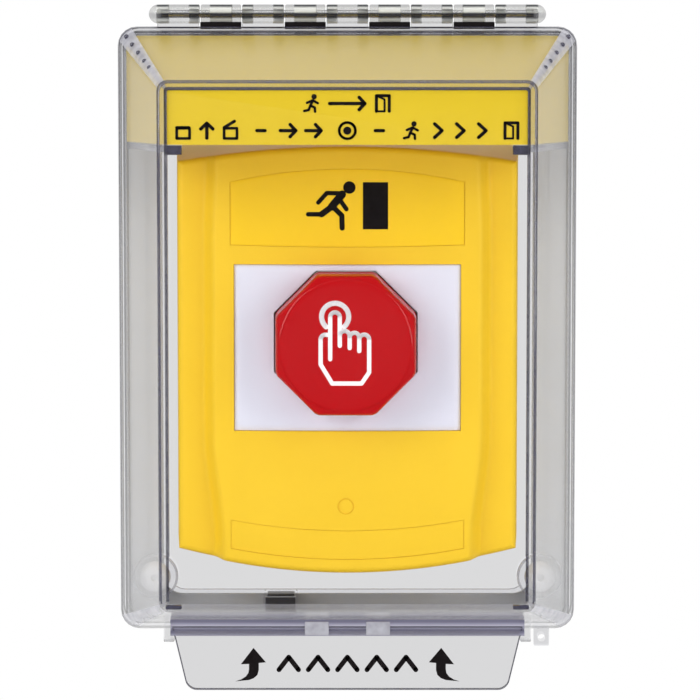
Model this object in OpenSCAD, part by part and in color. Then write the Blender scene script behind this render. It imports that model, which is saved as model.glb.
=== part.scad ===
// Push-to-exit door release station under a clear lift-up cover.
// X runs to the right, Z up, the wall is the plane Y = 0 and the front faces -Y.
// The origin is midway between the two wall-box screws, in the wall plane.
// A depth is a distance in front of the wall.

/* [Cover] */
// Width of the cover and of its mounting frame at the wall
rim_w = 144; // [142:0.5:148]
// Height of the cover and of its mounting frame at the wall
rim_h = 190.6; // [189:0.2:194]
// Width of the cover's front face
front_w = 112.6; // [111:0.2:114]
// Height of the cover's front face
front_h = 158.5; // [157:0.5:160]
// Height of the front face's middle over the origin
front_mid_z = -0.75; // [-1.5:0.25:0]
// Depth of the closed cover's front face
cover_d = 70; // [69:0.5:73]
// Depth of the mounting frame, where the cover's rim begins
frame_d = 10; // [9.5:0.1:10.2]
// Wall thickness of the clear mouldings
clear_wall = 2; // [1.8:0.1:2.2]
// Thickness of the seal between the frame and the wall
gasket_t = 1.5; // [1:0.1:2]

/* [Hinge] */
// Depth of the hinge axis
hinge_d = 8; // [7.5:0.1:8.5]
// Height of the hinge axis over the origin
hinge_z = 99.3; // [99.2:0.1:100]
// Radius of the hinge knuckles
knuckle_r = 3; // [2.8:0.1:3.1]
// Radius of the hinge pin
pin_r = 1.2; // [1:0.1:1.4]
// Distance between neighbouring cover knuckles
knuckle_pitch = 26.5; // [26:0.1:26.6]
// Length of a cover knuckle
cover_knuckle_w = 13.1; // [12.8:0.1:13.2]
// Length of a frame knuckle
frame_knuckle_w = 12.6; // [12:0.1:12.8]

/* [Station] */
// Width of the yellow housing
housing_w = 106; // [104:0.5:108]
// Height of the housing's top edge over the origin, at its middle
housing_top = 58.4; // [57:0.2:59]
// Rise of the curved top edge over its ends
top_rise = 5; // [4:0.5:6]
// Height of the housing's bottom edge over the origin, at its middle
housing_bottom = -73.2; // [-74:0.2:-73]
// Drop of the curved bottom edge below its ends
bottom_drop = 8.3; // [8:0.1:9]
// Depth of the raised front panel at its middle
panel_d = 38.5; // [38:0.1:39]
// Thickness of the housing's side walls
housing_wall = 2.5; // [2:0.1:2.8]
// Distance between the two wall-box screws of a single-gang box
box_pitch = 83.3; // [83:0.1:84]

/* [Push button] */
// Width across the flats of the octagonal button's face
face_flats = 42.2; // [41:0.2:44]
// Width across the flats of the button's skirt
skirt_flats = 43.4; // [43:0.1:46]
// Height of the button's middle over the origin
button_z = -1.8; // [-4:0.1:-1]
// Depth of the released button's face
face_d = 50; // [49:0.5:50]
// How far the button goes in
button_travel = 5; // [3:0.5:5]
// Radius of the button's shaft
shaft_r = 3; // [2.5:0.1:3]

/* [Key reset] */
// Depth of the lock's axis
lock_d = 20; // [19:0.5:21]
// Radius of the turning lock plug
plug_r = 4.4; // [4:0.1:4.5]

/* [Hidden] */

$fn = 64;
play = 0.3;                     // gap between the frame and the cover's rim
fit = 0.05;                     // radial clearance of a running fit
rim_d = frame_d + play;
corner_x = 61.5;                // frame screws, from the middle
corner_z = 79.6;
button_x = -0.5;               // middle of the button, from the centre line
octagon = 1 / cos(22.5);        // corner radius of an octagon, per unit of half its flats
bracket_d = 26;                 // front of the switch bracket
bush_front = 30;
bush_back = 22.5;
bar_front = 20.5;
bar_back = 19;
block_front = 13.5;
block_back = 4.5;
block_x = 13;                   // middle of each contact block, from the centre line
plunger_r = 1.5;
latch_x = 9;

// ---------- shared shapes ----------

// A prism between two depths, from an outline drawn in X and Z
module slab(near, far) {
    translate([0, -near, 0]) rotate([90, 0, 0]) linear_extrude(far - near) children();
}

// A round rod between two depths
module rod(x, z, r, near, far) {
    slab(near, far) translate([x, z]) circle(r = r);
}

// A rod along X
module cross_rod(length, r) {
    rotate([0, 90, 0]) cylinder(h = length, r = r, center = true);
}

module rounded_rect(w, h, r) {
    square([w - 2 * r, h], center = true);
    square([w, h - 2 * r], center = true);
    for (x = [-1, 1], z = [-1, 1]) translate([x * (w / 2 - r), z * (h / 2 - r)]) circle(r = r);
}

// A block from one corner to the other
module block(low, high) {
    translate(low) cube(high - low);
}

// ---------- clear mounting frame and hinge ----------

module window() {
    rounded_rect(114, 168, 5);
}

module hinge_row(centres, length) {
    for (x = centres) translate([x, -hinge_d, hinge_z]) cross_rod(length, knuckle_r);
}

cover_knuckles = [for (i = [-2:2]) i * knuckle_pitch];
frame_knuckles = [for (i = [-1.5:1:1.5]) i * knuckle_pitch];

module frame_corners() {
    for (x = [-1, 1], z = [-1, 1]) translate([x * corner_x, 0, z * corner_z]) children();
}

module mounting_frame() color("lavender", 0.4) {
    seal_x = 62;
    difference() {
        union() {
            difference() {
                slab(gasket_t, frame_d) rounded_rect(rim_w, rim_h, 6);
                slab(gasket_t + 2, frame_d + 1)
                    rounded_rect(rim_w - 2 * clear_wall, rim_h - 2 * clear_wall, 4);
                slab(0, frame_d) window();
            }
            frame_corners() rod(0, 0, 7.4, gasket_t, 6);
            hinge_row(frame_knuckles, frame_knuckle_w);
            // webs that carry the knuckles
            for (x = frame_knuckles)
                block([x - frame_knuckle_w / 2, -9.6, rim_h / 2 - 1], [x + frame_knuckle_w / 2, -5.4, hinge_z]);
            // post for a break-away seal
            block([seal_x - 2.5, -8, -rim_h / 2 - 6.5], [seal_x + 2.5, -3, -rim_h / 2 + 0.5]);
        }
        frame_corners() rod(0, 0, 2.2, 0, 10);
        translate([0, -hinge_d, hinge_z]) cross_rod(120, pin_r);
        rod(seal_x, -rim_h / 2 - 3.8, 1.2, 0, 12);
    }
}

module frame_gasket() color("gainsboro") {
    difference() {
        slab(0, gasket_t) rounded_rect(rim_w - 2, rim_h - 2, 5);
        slab(-1, gasket_t + 1) rounded_rect(118, 172, 6);
        frame_corners() rod(0, 0, 3.2, -1, 5);
    }
}

module hinge_pin() color("silver") {
    translate([0, -hinge_d, hinge_z]) cross_rod(116, pin_r);
}

module frame_screws() color("whitesmoke") frame_corners() {
    rod(0, 0, 2, 0.3, 6);
    // domed head
    translate([0, -6, 0]) rotate([90, 0, 0]) intersection() {
        cylinder(h = 3.4, r = 5);
        translate([0, 0, -2.2]) sphere(r = 5.6);
    }
}

module closing_magnet() color("dimgray") {
    block([-26, -9, -rim_h / 2 + 6.3], [-16.5, -3.6, -rim_h / 2 + 10.6]);
}

// ---------- yellow station housing ----------

// Depth of the housing's front at a distance from its centre line: rims at the sides,
// an S-shaped step, and a raised panel that is crowned across its width
panel_half = 40.5;
rim_from = 46;
rim_front_d = 33.5;
panel_crown = 2;
function step01(t) = t * t * (3 - 2 * t);
function front_depth(x) =
    x <= panel_half ? panel_d - panel_crown * pow(x / panel_half, 2)
    : x >= rim_from ? rim_front_d
    : let (t = step01((x - panel_half) / (rim_from - panel_half)))
      (panel_d - panel_crown) * (1 - t) + rim_front_d * t;
half_xs = concat([for (i = [0:8]) i * panel_half / 8],
    [for (i = [1:5]) panel_half + i * (rim_from - panel_half) / 5], [60]);
front_xs = concat([for (i = [len(half_xs) - 1:-1:1]) -half_xs[i]], half_xs);

// Everything between two offsets behind the crowned front, across the whole height
module skin(front_inset, back_inset, back_depth = undef) {
    last = len(front_xs) - 1;
    translate([0, 0, -100]) linear_extrude(200) polygon(concat(
        [for (x = front_xs) [x, -(front_depth(abs(x)) - front_inset)]],
        [for (i = [last:-1:0]) let (x = front_xs[i])
            [x, is_undef(back_depth) ? -(front_depth(abs(x)) - back_inset) : -back_depth]]));
}

// Sides straight, top and bottom edges arcs
module housing_outline(inset) {
    half = housing_w / 2;
    top_r = (half * half + top_rise * top_rise) / (2 * top_rise);
    bottom_r = (half * half + bottom_drop * bottom_drop) / (2 * bottom_drop);
    intersection() {
        translate([0, -10]) square([housing_w - 2 * inset, 300], center = true);
        translate([0, housing_top - top_r]) circle(r = top_r - inset, $fn = 256);
        translate([0, housing_bottom + bottom_r]) circle(r = bottom_r - inset, $fn = 256);
    }
}

module top_label_outline(gap) {
    half = 36 - gap;
    arc_r = 164;
    intersection() {
        translate([-half, 27.5 + gap]) square([2 * half, 30]);
        translate([0, 51.5 - arc_r]) circle(r = arc_r - gap, $fn = 256);
    }
}

module lower_label_outline(gap) {
    half = 36 - gap;
    arc_r = 168;
    difference() {
        intersection() {
            translate([-half, -75]) square([2 * half, 30]);
            translate([0, -69.3 + arc_r]) circle(r = arc_r - gap, $fn = 256);
        }
        translate([0, -60.3 + arc_r]) circle(r = arc_r + gap, $fn = 256);
    }
}

module insert_outline(gap) {
    translate([0, -3.5]) rounded_rect(69.8 - 2 * gap, 51.4 - 2 * gap, 2);
}

module octagon_prism(flats, near, far) {
    translate([button_x, -near, button_z]) rotate([90, 0, 0]) rotate(22.5)
        cylinder(h = far - near, r = flats / 2 * octagon, $fn = 8);
}

module bracket_holes(r, near, far) {
    for (x = [-34, 34], z = [button_z - 18, button_z + 18]) rod(x, z, r, near, far);
}

housing_screw_x = 30;
housing_screw_d = 8;

module housing() color("gold") difference() {
    union() {
        difference() {
            intersection() {
                slab(0.4, 45) housing_outline(0);
                skin(0, 0, back_depth = -1);
            }
            intersection() {
                slab(-1, 45) housing_outline(housing_wall);
                skin(4.4, 0, back_depth = -2);
            }
        }
        bracket_holes(3.4, bracket_d, 33);
    }
    intersection() { slab(20, 50) top_label_outline(0); skin(-5, 0.8); }
    intersection() { slab(20, 50) lower_label_outline(0); skin(-5, 0.6); }
    intersection() { slab(20, 50) insert_outline(0); skin(-5, 2.4); }
    octagon_prism(skirt_flats + 4, 20, 50);
    bracket_holes(1.2, bracket_d - 1, 32);
    // moulded mark for a knock-out
    difference() {
        rod(0, -52, 2.2, panel_d - 0.35, 50);
        rod(0, -52, 1.8, panel_d - 1, 50);
    }
    // bottom holes: two housing screws and the lock
    for (x = [-housing_screw_x, housing_screw_x]) translate([x, -housing_screw_d, -80]) {
        cylinder(h = 14, r = 1.7);
        cylinder(h = 10.6, r = 3);
    }
    translate([0, -lock_d, -80]) cylinder(h = 14, r = 5.6);
}

module top_label_plate() color("yellow") intersection() {
    slab(20, 50) top_label_outline(0.15);
    skin(0.15, 0.8);
}

module lower_label_plate() color("goldenrod") intersection() {
    slab(20, 50) lower_label_outline(0.15);
    skin(0.1, 0.6);
}

module button_surround() color("white") difference() {
    intersection() {
        slab(20, 50) insert_outline(0.15);
        skin(0.4, 2.4);
    }
    octagon_prism(skirt_flats + 0.8, 20, 50);
}

module housing_screws() color("silver") for (x = [-housing_screw_x, housing_screw_x])
    translate([x, -housing_screw_d, 0]) {
        translate([0, 0, -69.4]) cylinder(h = 7.4, r = 1.5);
        difference() {
            translate([0, 0, -71.2]) cylinder(h = 1.8, r = 2.7);
            translate([0, 0, -72]) cylinder(h = 1.8, r = 1.4, $fn = 6);
        }
    }

module back_plate() color("lightsteelblue") difference() {
    union() {
        slab(0, 1.5) rounded_rect(96, 100, 4);
        // bottom tabs that take the housing screws
        for (x = [-housing_screw_x, housing_screw_x]) {
            block([x - 7, -1.5, -66], [x + 7, 0, -50]);
            block([x - 7, -14, -66], [x + 7, 0, -64.5]);
        }
        // top hook
        block([-20, -1.5, 48], [20, 0, 53]);
        block([-20, -9, 51.5], [20, 0, 53]);
    }
    for (z = [-1, 1]) rod(0, z * box_pitch / 2, 2.1, -1, 3);
    slab(-1, 3) rounded_rect(52, 60, 5);
    for (x = [-housing_screw_x, housing_screw_x])
        translate([x, -housing_screw_d, -70]) cylinder(h = 8, r = 1.55);
}

// ---------- contacts behind the button ----------

module switch_bracket() color("silver") difference() {
    union() {
        slab(bracket_d - 1.5, bracket_d) translate([0, button_z]) rounded_rect(77, 45, 3);
        for (x = [-1, 1]) translate([x * 23, 0, button_z]) block([-0.75, -bracket_d, -14], [0.75, -block_back, 14]);
    }
    rod(button_x, button_z, 5, 20, 30);
    bracket_holes(1.6, 20, 30);
}

module bracket_screws() color("gray") {
    bracket_holes(1.2, bracket_d - 1.5, 31);
    difference() {
        bracket_holes(2.8, bracket_d - 3.3, bracket_d - 1.5);
        bracket_holes(0.9, bracket_d - 4, bracket_d - 2.3);
    }
}

module guide_bush() color("ivory") difference() {
    union() {
        rod(button_x, button_z, 5, bush_back, bush_front);
        rod(button_x, button_z, 6.2, bracket_d, bracket_d + 1);
    }
    rod(button_x, button_z, shaft_r + fit, 20, 32);
}

module contact_block(side, tone) color(tone) difference() {
    middle = side * block_x;
    union() {
        block([middle - 7, -block_front, button_z - 14], [middle + 7, -block_back, button_z + 14]);
        // foot clipped to the bracket's leg
        block([min(side * 20, side * 22.25), -block_front, button_z - 8],
            [max(side * 20, side * 22.25), -block_back, button_z + 8]);
    }
    rod(middle, button_z, plunger_r + fit, 6, 20);
    for (z = [-10, 10]) rod(middle, button_z + z, 1.2, 8, 20);
}

module contact_block_left() contact_block(-1, "seagreen");
module contact_block_right() contact_block(1, "firebrick");

module terminal_screws() color("silver") for (x = [-block_x, block_x], z = [-10, 10]) difference() {
    union() {
        rod(x, button_z + z, 1.2, 8.2, block_front);
        rod(x, button_z + z, 2.4, block_front, block_front + 1.3);
    }
    slab(block_front + 0.6, 20) translate([x, button_z + z]) square([6, 0.7], center = true);
}

// ---------- push button ----------

module button_cap() color("firebrick") difference() {
    skirt_front = panel_d + 0.5;
    union() {
        difference() {
            union() {
                octagon_prism(skirt_flats, 32, skirt_front);
                // tapered sides from a small shoulder up to the face
                hull() {
                    octagon_prism(skirt_flats - 0.5, skirt_front - 1, skirt_front - 0.5);
                    octagon_prism(face_flats + 1.6, face_d - 1.3, face_d - 1.2);
                    octagon_prism(face_flats, face_d - 0.1, face_d);
                }
            }
            octagon_prism(skirt_flats - 6, 30, face_d - 3);
        }
        rod(button_x, button_z, 4.6, 36, face_d - 2);
    }
    rod(button_x, button_z, shaft_r, 30, 46);
}

module button_shaft() color("silver") rod(button_x, button_z, shaft_r, 18.6, 46);

module shaft_clip() color("dimgray") difference() {
    rod(button_x, button_z, 5, 21.4, 22.4);
    rod(button_x, button_z, shaft_r, 20, 23);
}

module actuator_bar() color("black") difference() {
    slab(bar_back, bar_front) translate([0, button_z]) rounded_rect(36, 9, 2);
    rod(button_x, button_z, shaft_r, 18, 22);
}

module contact_plungers() color("white") for (x = [-block_x, block_x])
    rod(x, button_z, plunger_r, 11.5, bar_back);

// Coil spring round the guide bush, under the cap
spring_r = 7.2;
spring_wire = 0.6;
spring_near = bracket_d + 1.7;
spring_far = face_d - 3 - 0.7;
coil_turns = 5;
coil_steps = 12;
wire_sides = 6;
function coil_point(i, j) = let (turn = i / coil_steps * 360, side = j / wire_sides * 360,
    r = spring_r + spring_wire * cos(side))
    [button_x + r * cos(turn), -(spring_near + (spring_far - spring_near) * i / (coil_turns * coil_steps))
        - spring_wire * sin(side), button_z + r * sin(turn)];
module return_spring() color("silver") {
    last = coil_turns * coil_steps;
    polyhedron(
        points = [for (i = [0:last], j = [0:wire_sides - 1]) coil_point(i, j)],
        faces = concat([[for (j = [wire_sides - 1:-1:0]) j]],
            [for (i = [0:last - 1], j = [0:wire_sides - 1]) let (k = (j + 1) % wire_sides)
                [i * wire_sides + j, i * wire_sides + k, (i + 1) * wire_sides + k, (i + 1) * wire_sides + j]],
            [[for (j = [0:wire_sides - 1]) last * wire_sides + j]]));
}

// ---------- key reset ----------

module lock_body() color("silver") translate([0, -lock_d, 0]) difference() {
    union() {
        translate([0, 0, housing_bottom - 1.5]) cylinder(h = 1.45, r = 7.5);
        translate([0, 0, housing_bottom - 0.1]) cylinder(h = 15.3, r = 5.5);
    }
    translate([0, 0, housing_bottom - 3]) cylinder(h = 20, r = plug_r + fit);
}

module lock_nut() color("silver") translate([0, -lock_d, 0]) difference() {
    translate([0, 0, -70.5]) cylinder(h = 3, r = 8.5, $fn = 6);
    translate([0, 0, -72]) cylinder(h = 6, r = 5.5);
}

module lock_plug() color("lightgray") translate([0, -lock_d, 0]) difference() {
    translate([0, 0, housing_bottom - 1.6]) cylinder(h = 17.6, r = plug_r);
    translate([-0.7, -2.8, housing_bottom - 2]) cube([1.4, 5.6, 12]);
}

module lock_cam() color("silver") translate([0, -lock_d, housing_bottom + 16]) difference() {
    union() {
        cylinder(h = 1.5, r = 5);
        translate([0, -3, 0]) cube([12.5, 6, 1.5]);
    }
    translate([0, 0, 1]) cylinder(h = 2, r = 2);
}

// Bar that holds the pushed button in until the key draws it down
module reset_latch() color("silver") {
    foot_z = housing_bottom + 20.9;
    block([latch_x, -lock_d - 3, foot_z], [latch_x + 5, -lock_d + 3, foot_z + 1.5]);
    block([latch_x, -lock_d - 3, foot_z], [latch_x + 5, -lock_d - 1.5, -27.5]);
}

// ---------- moving cover ----------

module cover_block(inset, front_inset) {
    hull() {
        slab(rim_d - (inset > 0 ? 1 : 0), rim_d + 1.6) rounded_rect(rim_w - 2 * inset, rim_h - 2 * inset, 6 - inset);
        slab(rim_d + 1.6, cover_d - 1.2 - front_inset) translate([0, front_mid_z])
            rounded_rect(front_w - 2 * inset, front_h - 2 * inset, 3.2 - inset);
        slab(cover_d - 1 - front_inset, cover_d - front_inset) translate([0, front_mid_z])
            rounded_rect(front_w - 2 - 2 * inset, front_h - 2 - 2 * inset, 2.4 - inset);
    }
}

module cover() color("lavender", 0.3) difference() {
    union() {
        difference() {
            cover_block(0, 0);
            cover_block(clear_wall, clear_wall);
        }
        hinge_row(cover_knuckles, cover_knuckle_w);
        for (x = [-1, 1]) translate([x * (2 * knuckle_pitch + cover_knuckle_w / 2), -hinge_d, hinge_z])
            sphere(r = knuckle_r);
        // arms from the knuckles down to the rim
        for (x = cover_knuckles) {
            block([x - cover_knuckle_w / 2, -13.4, hinge_z - 2.4], [x + cover_knuckle_w / 2, -hinge_d, hinge_z + 1.6]);
            block([x - cover_knuckle_w / 2, -13.4, rim_h / 2 - 2], [x + cover_knuckle_w / 2, -10.8, hinge_z]);
        }
    }
    translate([0, -hinge_d, hinge_z]) cross_rod(117, pin_r + fit);
}

// Folded hood behind the top of the clear cover: front, top and two cheeks
module label_hood() color("gold") {
    hood_bottom = 59.4;
    sheet = 0.8;
    difference() {
        intersection() {
            cover_block(clear_wall + 0.25, clear_wall + 0.25);
            block([-100, -100, hood_bottom], [100, -14, 100]);
        }
        cover_block(clear_wall + 0.25 + sheet, clear_wall + 0.25 + sheet);
    }
}

module lift_handle() color("lavender", 0.5) difference() {
    plate_back = 43.5;
    plate_front = 46;
    union() {
        // root block under the cover's lower wall, and a clip at each end
        block([-54.5, -plate_front, -91.6], [54.5, -36.5, -82]);
        for (x = [-1, 1]) translate([x * 54.7, 0, 0]) block([-1.8, -44, -93.4], [1.8, -38, -84]);
        slab(plate_back, plate_front) hull() {
            translate([-53.6, -91]) square([107.2, 3]);
            for (x = [-46.4, 46.4]) translate([x, -104.8]) circle(r = 3.5, $fn = 32);
        }
    }
    cover_block(-0.02, -0.02);
}

// Angle on the cover's lower wall that meets the magnet
module striker_plate() color("gray") {
    block([-26, -18, -91.1], [-16.5, -12.4, -89.7]);
    block([-26, -13.8, -91.1], [-16.5, -12.4, -85]);
}

mounting_frame();
frame_gasket();
hinge_pin();
frame_screws();
closing_magnet();
back_plate();
housing();
housing_screws();
top_label_plate();
lower_label_plate();
button_surround();
switch_bracket();
bracket_screws();
guide_bush();
contact_block_left();
contact_block_right();
terminal_screws();
lock_body();
lock_nut();
cover();
label_hood();
lift_handle();
striker_plate();
button_cap();
button_shaft();
shaft_clip();
actuator_bar();
contact_plungers();
return_spring();
lock_plug();
lock_cam();
reset_latch();
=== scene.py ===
import math
import bmesh
import bpy
from mathutils import Matrix, Vector


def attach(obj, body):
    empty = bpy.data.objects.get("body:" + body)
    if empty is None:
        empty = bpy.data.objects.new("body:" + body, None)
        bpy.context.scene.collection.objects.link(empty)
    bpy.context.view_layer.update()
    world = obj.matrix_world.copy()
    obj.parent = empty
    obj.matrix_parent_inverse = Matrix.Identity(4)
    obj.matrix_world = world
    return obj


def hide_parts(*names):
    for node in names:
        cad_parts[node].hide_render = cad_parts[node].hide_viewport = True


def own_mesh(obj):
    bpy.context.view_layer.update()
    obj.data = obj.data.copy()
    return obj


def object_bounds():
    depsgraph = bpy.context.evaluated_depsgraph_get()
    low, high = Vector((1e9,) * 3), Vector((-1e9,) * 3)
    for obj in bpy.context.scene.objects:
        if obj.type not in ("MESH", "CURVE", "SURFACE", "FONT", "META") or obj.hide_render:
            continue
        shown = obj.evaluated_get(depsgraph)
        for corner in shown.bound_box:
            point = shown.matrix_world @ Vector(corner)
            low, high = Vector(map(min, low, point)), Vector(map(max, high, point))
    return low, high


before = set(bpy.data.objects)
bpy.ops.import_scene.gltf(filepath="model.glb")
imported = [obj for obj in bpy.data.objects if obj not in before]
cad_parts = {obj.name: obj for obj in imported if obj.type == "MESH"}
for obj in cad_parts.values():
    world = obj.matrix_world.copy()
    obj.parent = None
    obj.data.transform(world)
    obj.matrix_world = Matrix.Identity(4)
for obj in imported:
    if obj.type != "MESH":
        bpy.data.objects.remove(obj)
cad_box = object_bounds()
scene = bpy.context.scene

# ---------- Studio: bright field behind the clear mouldings, soft lights in front ----------
# Clear mouldings show their edges when the field behind them is bright and what lies to the
# sides is dark. The station hangs on its wall side, so the pale floor lies well below it.

camera = bpy.data.objects.new("camera", bpy.data.cameras.new("camera"))
camera.location = (0.0008, -0.9508, 0.0771)
camera.rotation_euler = (math.pi / 2 - 0.077, 0, 0)
camera.data.lens = 153.45
camera.data.sensor_width = 36
camera.data.shift_y = -0.05
scene.collection.objects.link(camera)
scene.camera = camera
scene.view_settings.view_transform = "Standard"
scene.cycles.max_bounces = 20
scene.cycles.transmission_bounces = 16
scene.cycles.transparent_max_bounces = 32
scene.cycles.caustics_reflective = False
scene.cycles.caustics_refractive = False


def maths(operation, *values):
    """A Math node on numbers and sockets, of which at least one is a socket."""
    tree = next(value.tree for value in values if isinstance(value, Shade))
    node = tree.nodes.new("ShaderNodeMath")
    node.operation = operation
    for place, value in zip(node.inputs, values):
        if isinstance(value, Shade):
            tree.links.new(value.socket, place)
        else:
            place.default_value = value
    return Shade(tree, node.outputs[0])


class Shade:
    """A socket that takes part in arithmetic: each operator adds its Math node."""

    def __init__(self, tree, socket):
        self.tree, self.socket = tree, socket

    def __add__(self, other):
        return maths("ADD", self, other)

    def __radd__(self, other):
        return maths("ADD", other, self)

    def __sub__(self, other):
        return maths("SUBTRACT", self, other)

    def __rsub__(self, other):
        return maths("SUBTRACT", other, self)

    def __mul__(self, other):
        return maths("MULTIPLY", self, other)

    def __pow__(self, other):
        return maths("POWER", self, other)

    def clamp(self):
        held = self * 1.0
        held.socket.node.use_clamp = True
        return held


class Finish:
    """A material or world being built; node() makes any node, settings first, then its sockets."""

    def __init__(self, name, block=None):
        self.block = block or bpy.data.materials.new(name)
        self.block.use_nodes = True
        self.tree = self.block.node_tree
        self.tree.nodes.clear()

    def node(self, kind, settings=None, output=0, **sockets):
        node = self.tree.nodes.new("ShaderNode" + kind)
        for key, value in (settings or {}).items():
            setattr(node, key, value)
        for key, value in sockets.items():
            place = node.inputs[int(key[1:])] if key[1:].isdigit() else node.inputs[key.replace("_", " ")]
            if isinstance(value, Shade):
                self.tree.links.new(value.socket, place)
            elif isinstance(value, tuple) and len(value) == 3 and len(place.default_value) == 4:
                place.default_value = (*value, 1)
            else:
                place.default_value = value
        return Shade(self.tree, node.outputs[output])

    def noise(self, scale, detail=2.0, stretch=(1, 1, 1)):
        where = self.node("Mapping", i0=self.node("TexCoord", output=3), i3=stretch)
        return self.node("TexNoise", i0=where, i2=scale, i3=detail)

    def colours(self, factor, one, two):
        return self.node("Mix", {"data_type": "RGBA"}, output=2, i0=factor, i6=one, i7=two)

    def bump(self, height, distance):
        return self.node("Bump", i1=distance, i3=height)

    def shell(self, **sockets):
        return self.node("BsdfPrincipled", **sockets)

    def done(self, shader, kind="OutputMaterial"):
        self.tree.links.new(shader.socket, self.tree.nodes.new("ShaderNode" + kind).inputs[0])
        return self.block


VEIL = 0.24  # how much dimmer the field is where it is seen through the clear mouldings
scene.world = bpy.data.worlds.new("studio")
sky = Finish("studio", scene.world)
heading = sky.node("SeparateXYZ", i0=sky.node("TexCoord", output=0))
north, up = (Shade(sky.tree, heading.socket.node.outputs[i]) for i in (1, 2))
paths = sky.node("LightPath").socket.node
seen = Shade(sky.tree, paths.outputs["Is Camera Ray"])
through = maths("GREATER_THAN", Shade(sky.tree, paths.outputs["Transparent Depth"]), 0.5)
# what lamps and mirrors meet: bright behind, brighter above, dim all round, darkest in front
field = (((north - 0.79) * 8.0).clamp() * 0.84 + ((up - 0.25) * 1.5).clamp() * 0.45
         + 0.15 - ((north * -1.0 - 0.75) * 4.0).clamp() * 0.12)
sky.done(sky.node("Background", i0=(1.0, 1.0, 1.0), i1=seen * (1.0 - through * VEIL) + (1 - seen) * field),
         "OutputWorld")


def softbox(name, place, width, height, power, mirrored=True):
    light = bpy.data.lights.new(name, "AREA")
    light.shape, light.size, light.size_y, light.energy = "RECTANGLE", width, height, power
    lamp = bpy.data.objects.new(name, light)
    lamp.location = place
    lamp.rotation_euler = (-Vector(place)).to_track_quat("-Z", "Y").to_euler()
    lamp.visible_glossy = mirrored
    scene.collection.objects.link(lamp)


softbox("key_left", (-0.95, -0.85, 0.50), 0.7, 0.9, 11.0)
softbox("fill_right", (1.0, -0.8, 0.35), 0.7, 0.9, 9.0)
softbox("front", (0, -1.65, -0.20), 1.4, 0.8, 11.0, mirrored=False)
softbox("overhead", (0, -0.45, 1.15), 1.2, 0.5, 3.6)
softbox("rear", (0.4, 1.3, 0.6), 1.0, 1.0, 7.0, mirrored=False)

sheet = bmesh.new()
bmesh.ops.create_grid(sheet, x_segments=1, y_segments=1, size=12)
bmesh.ops.translate(sheet, verts=sheet.verts, vec=(0, 0, cad_box[0].z - 0.16))
floor_mesh = bpy.data.meshes.new("floor")
sheet.to_mesh(floor_mesh)
floor = bpy.data.objects.new("floor", floor_mesh)
scene.collection.objects.link(floor)
pale = Finish("pale_floor")
paths = pale.node("LightPath").socket.node
seen = Shade(pale.tree, paths.outputs["Is Camera Ray"])
mirrored = Shade(pale.tree, paths.outputs["Is Glossy Ray"])
through = maths("GREATER_THAN", Shade(pale.tree, paths.outputs["Transparent Depth"]), 0.5)
behind = (pale.node("SeparateXYZ", output=1, i0=pale.node("TexCoord", output=3)) * 20.0).clamp()
floor_mesh.materials.append(pale.done(pale.node(
    "MixShader", i0=(seen + mirrored).clamp(), i1=pale.node("BsdfDiffuse", i0=(0.70, 0.70, 0.70)),
    i2=pale.node("Emission", i0=(1, 1, 1),
                 i1=seen * (1.0 - through * VEIL) + mirrored * (0.08 + behind * 0.92)))))


# ---------- Yellow housing: one injection-moulded shell with a fine spark texture ----------
# Moulded ABS, screwed to the back plate from below. Its top and bottom edges are arcs, and a
# crowned panel stands proud between two side rims. It has draft and a rounded front edge.

HOUSING_HALF, HOUSING_TOP, HOUSING_BOTTOM = 54.3, 59.0, -73.4
TOP_RISE, BOTTOM_DROP = 5.0, 7.2
PANEL_DEPTH, PANEL_CROWN, PANEL_HALF = 38.5, 2.0, 40.5
RIM_HALF, RIM_DEPTH = 44.9, 31.6
SIDE_DRAFT, TOP_DRAFT, TOP_FLARE, FRONT_ROUND = 1.9, 0.6, 3.6, 2.0
FOOT_TAPER, HEAD_TAPER = 3.2, 0.8  # how much the panel narrows towards its foot and its head
HOUSING_WALL, HOUSING_BACK, CROWDING = 2.4, 0.5, 1.44


def fall(x, half, rise):
    """How far an arc that drops by rise at half has dropped at x."""
    radius = (half * half + rise * rise) / (2 * rise)
    return radius - math.sqrt(max(radius * radius - x * x, 0))


def ease(t):
    t = min(max(t, 0), 1)
    return t * t * (3 - 2 * t)


def front_depth(x, z=0.0):
    """Depth of the housing's front: the panel's crown, then an S-shaped step down to the rims."""
    side = abs(x)
    edge = PANEL_HALF - FOOT_TAPER * ease((-z - 30) / 35) - HEAD_TAPER * ease((z - 30) / 25)
    crown = PANEL_DEPTH - PANEL_CROWN * (min(side, edge) / PANEL_HALF) ** 2
    t = ease((side - edge) / (RIM_HALF - PANEL_HALF))
    return crown * (1 - t) + RIM_DEPTH * t


def finish_mesh(bm, crease=32):
    bmesh.ops.remove_doubles(bm, verts=bm.verts, dist=0.001)
    bmesh.ops.recalc_face_normals(bm, faces=bm.faces)
    for face in bm.faces:
        face.smooth = True
    for edge in bm.edges:
        edge.smooth = len(edge.link_faces) != 2 or edge.calc_face_angle(0) < math.radians(crease)


def piece(name, bm, material, body, replaces=(), crease=32):
    """A finished mesh, drawn in millimetres, becomes a piece in metres that rides on a body."""
    finish_mesh(bm, crease)
    bmesh.ops.scale(bm, verts=bm.verts, vec=(0.001, 0.001, 0.001))
    mesh = bpy.data.meshes.new(name)
    bm.to_mesh(mesh)
    bm.free()
    made = bpy.data.objects.new(name, mesh)
    scene.collection.objects.link(made)
    mesh.materials.append(material)
    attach(made, body)
    if replaces:
        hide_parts(*replaces)
    return made


def as_tool(bm):
    finish_mesh(bm)
    mesh = bpy.data.meshes.new("tool")
    bm.to_mesh(mesh)
    bm.free()
    tool = bpy.data.objects.new("tool", mesh)
    scene.collection.objects.link(tool)
    return tool


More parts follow.
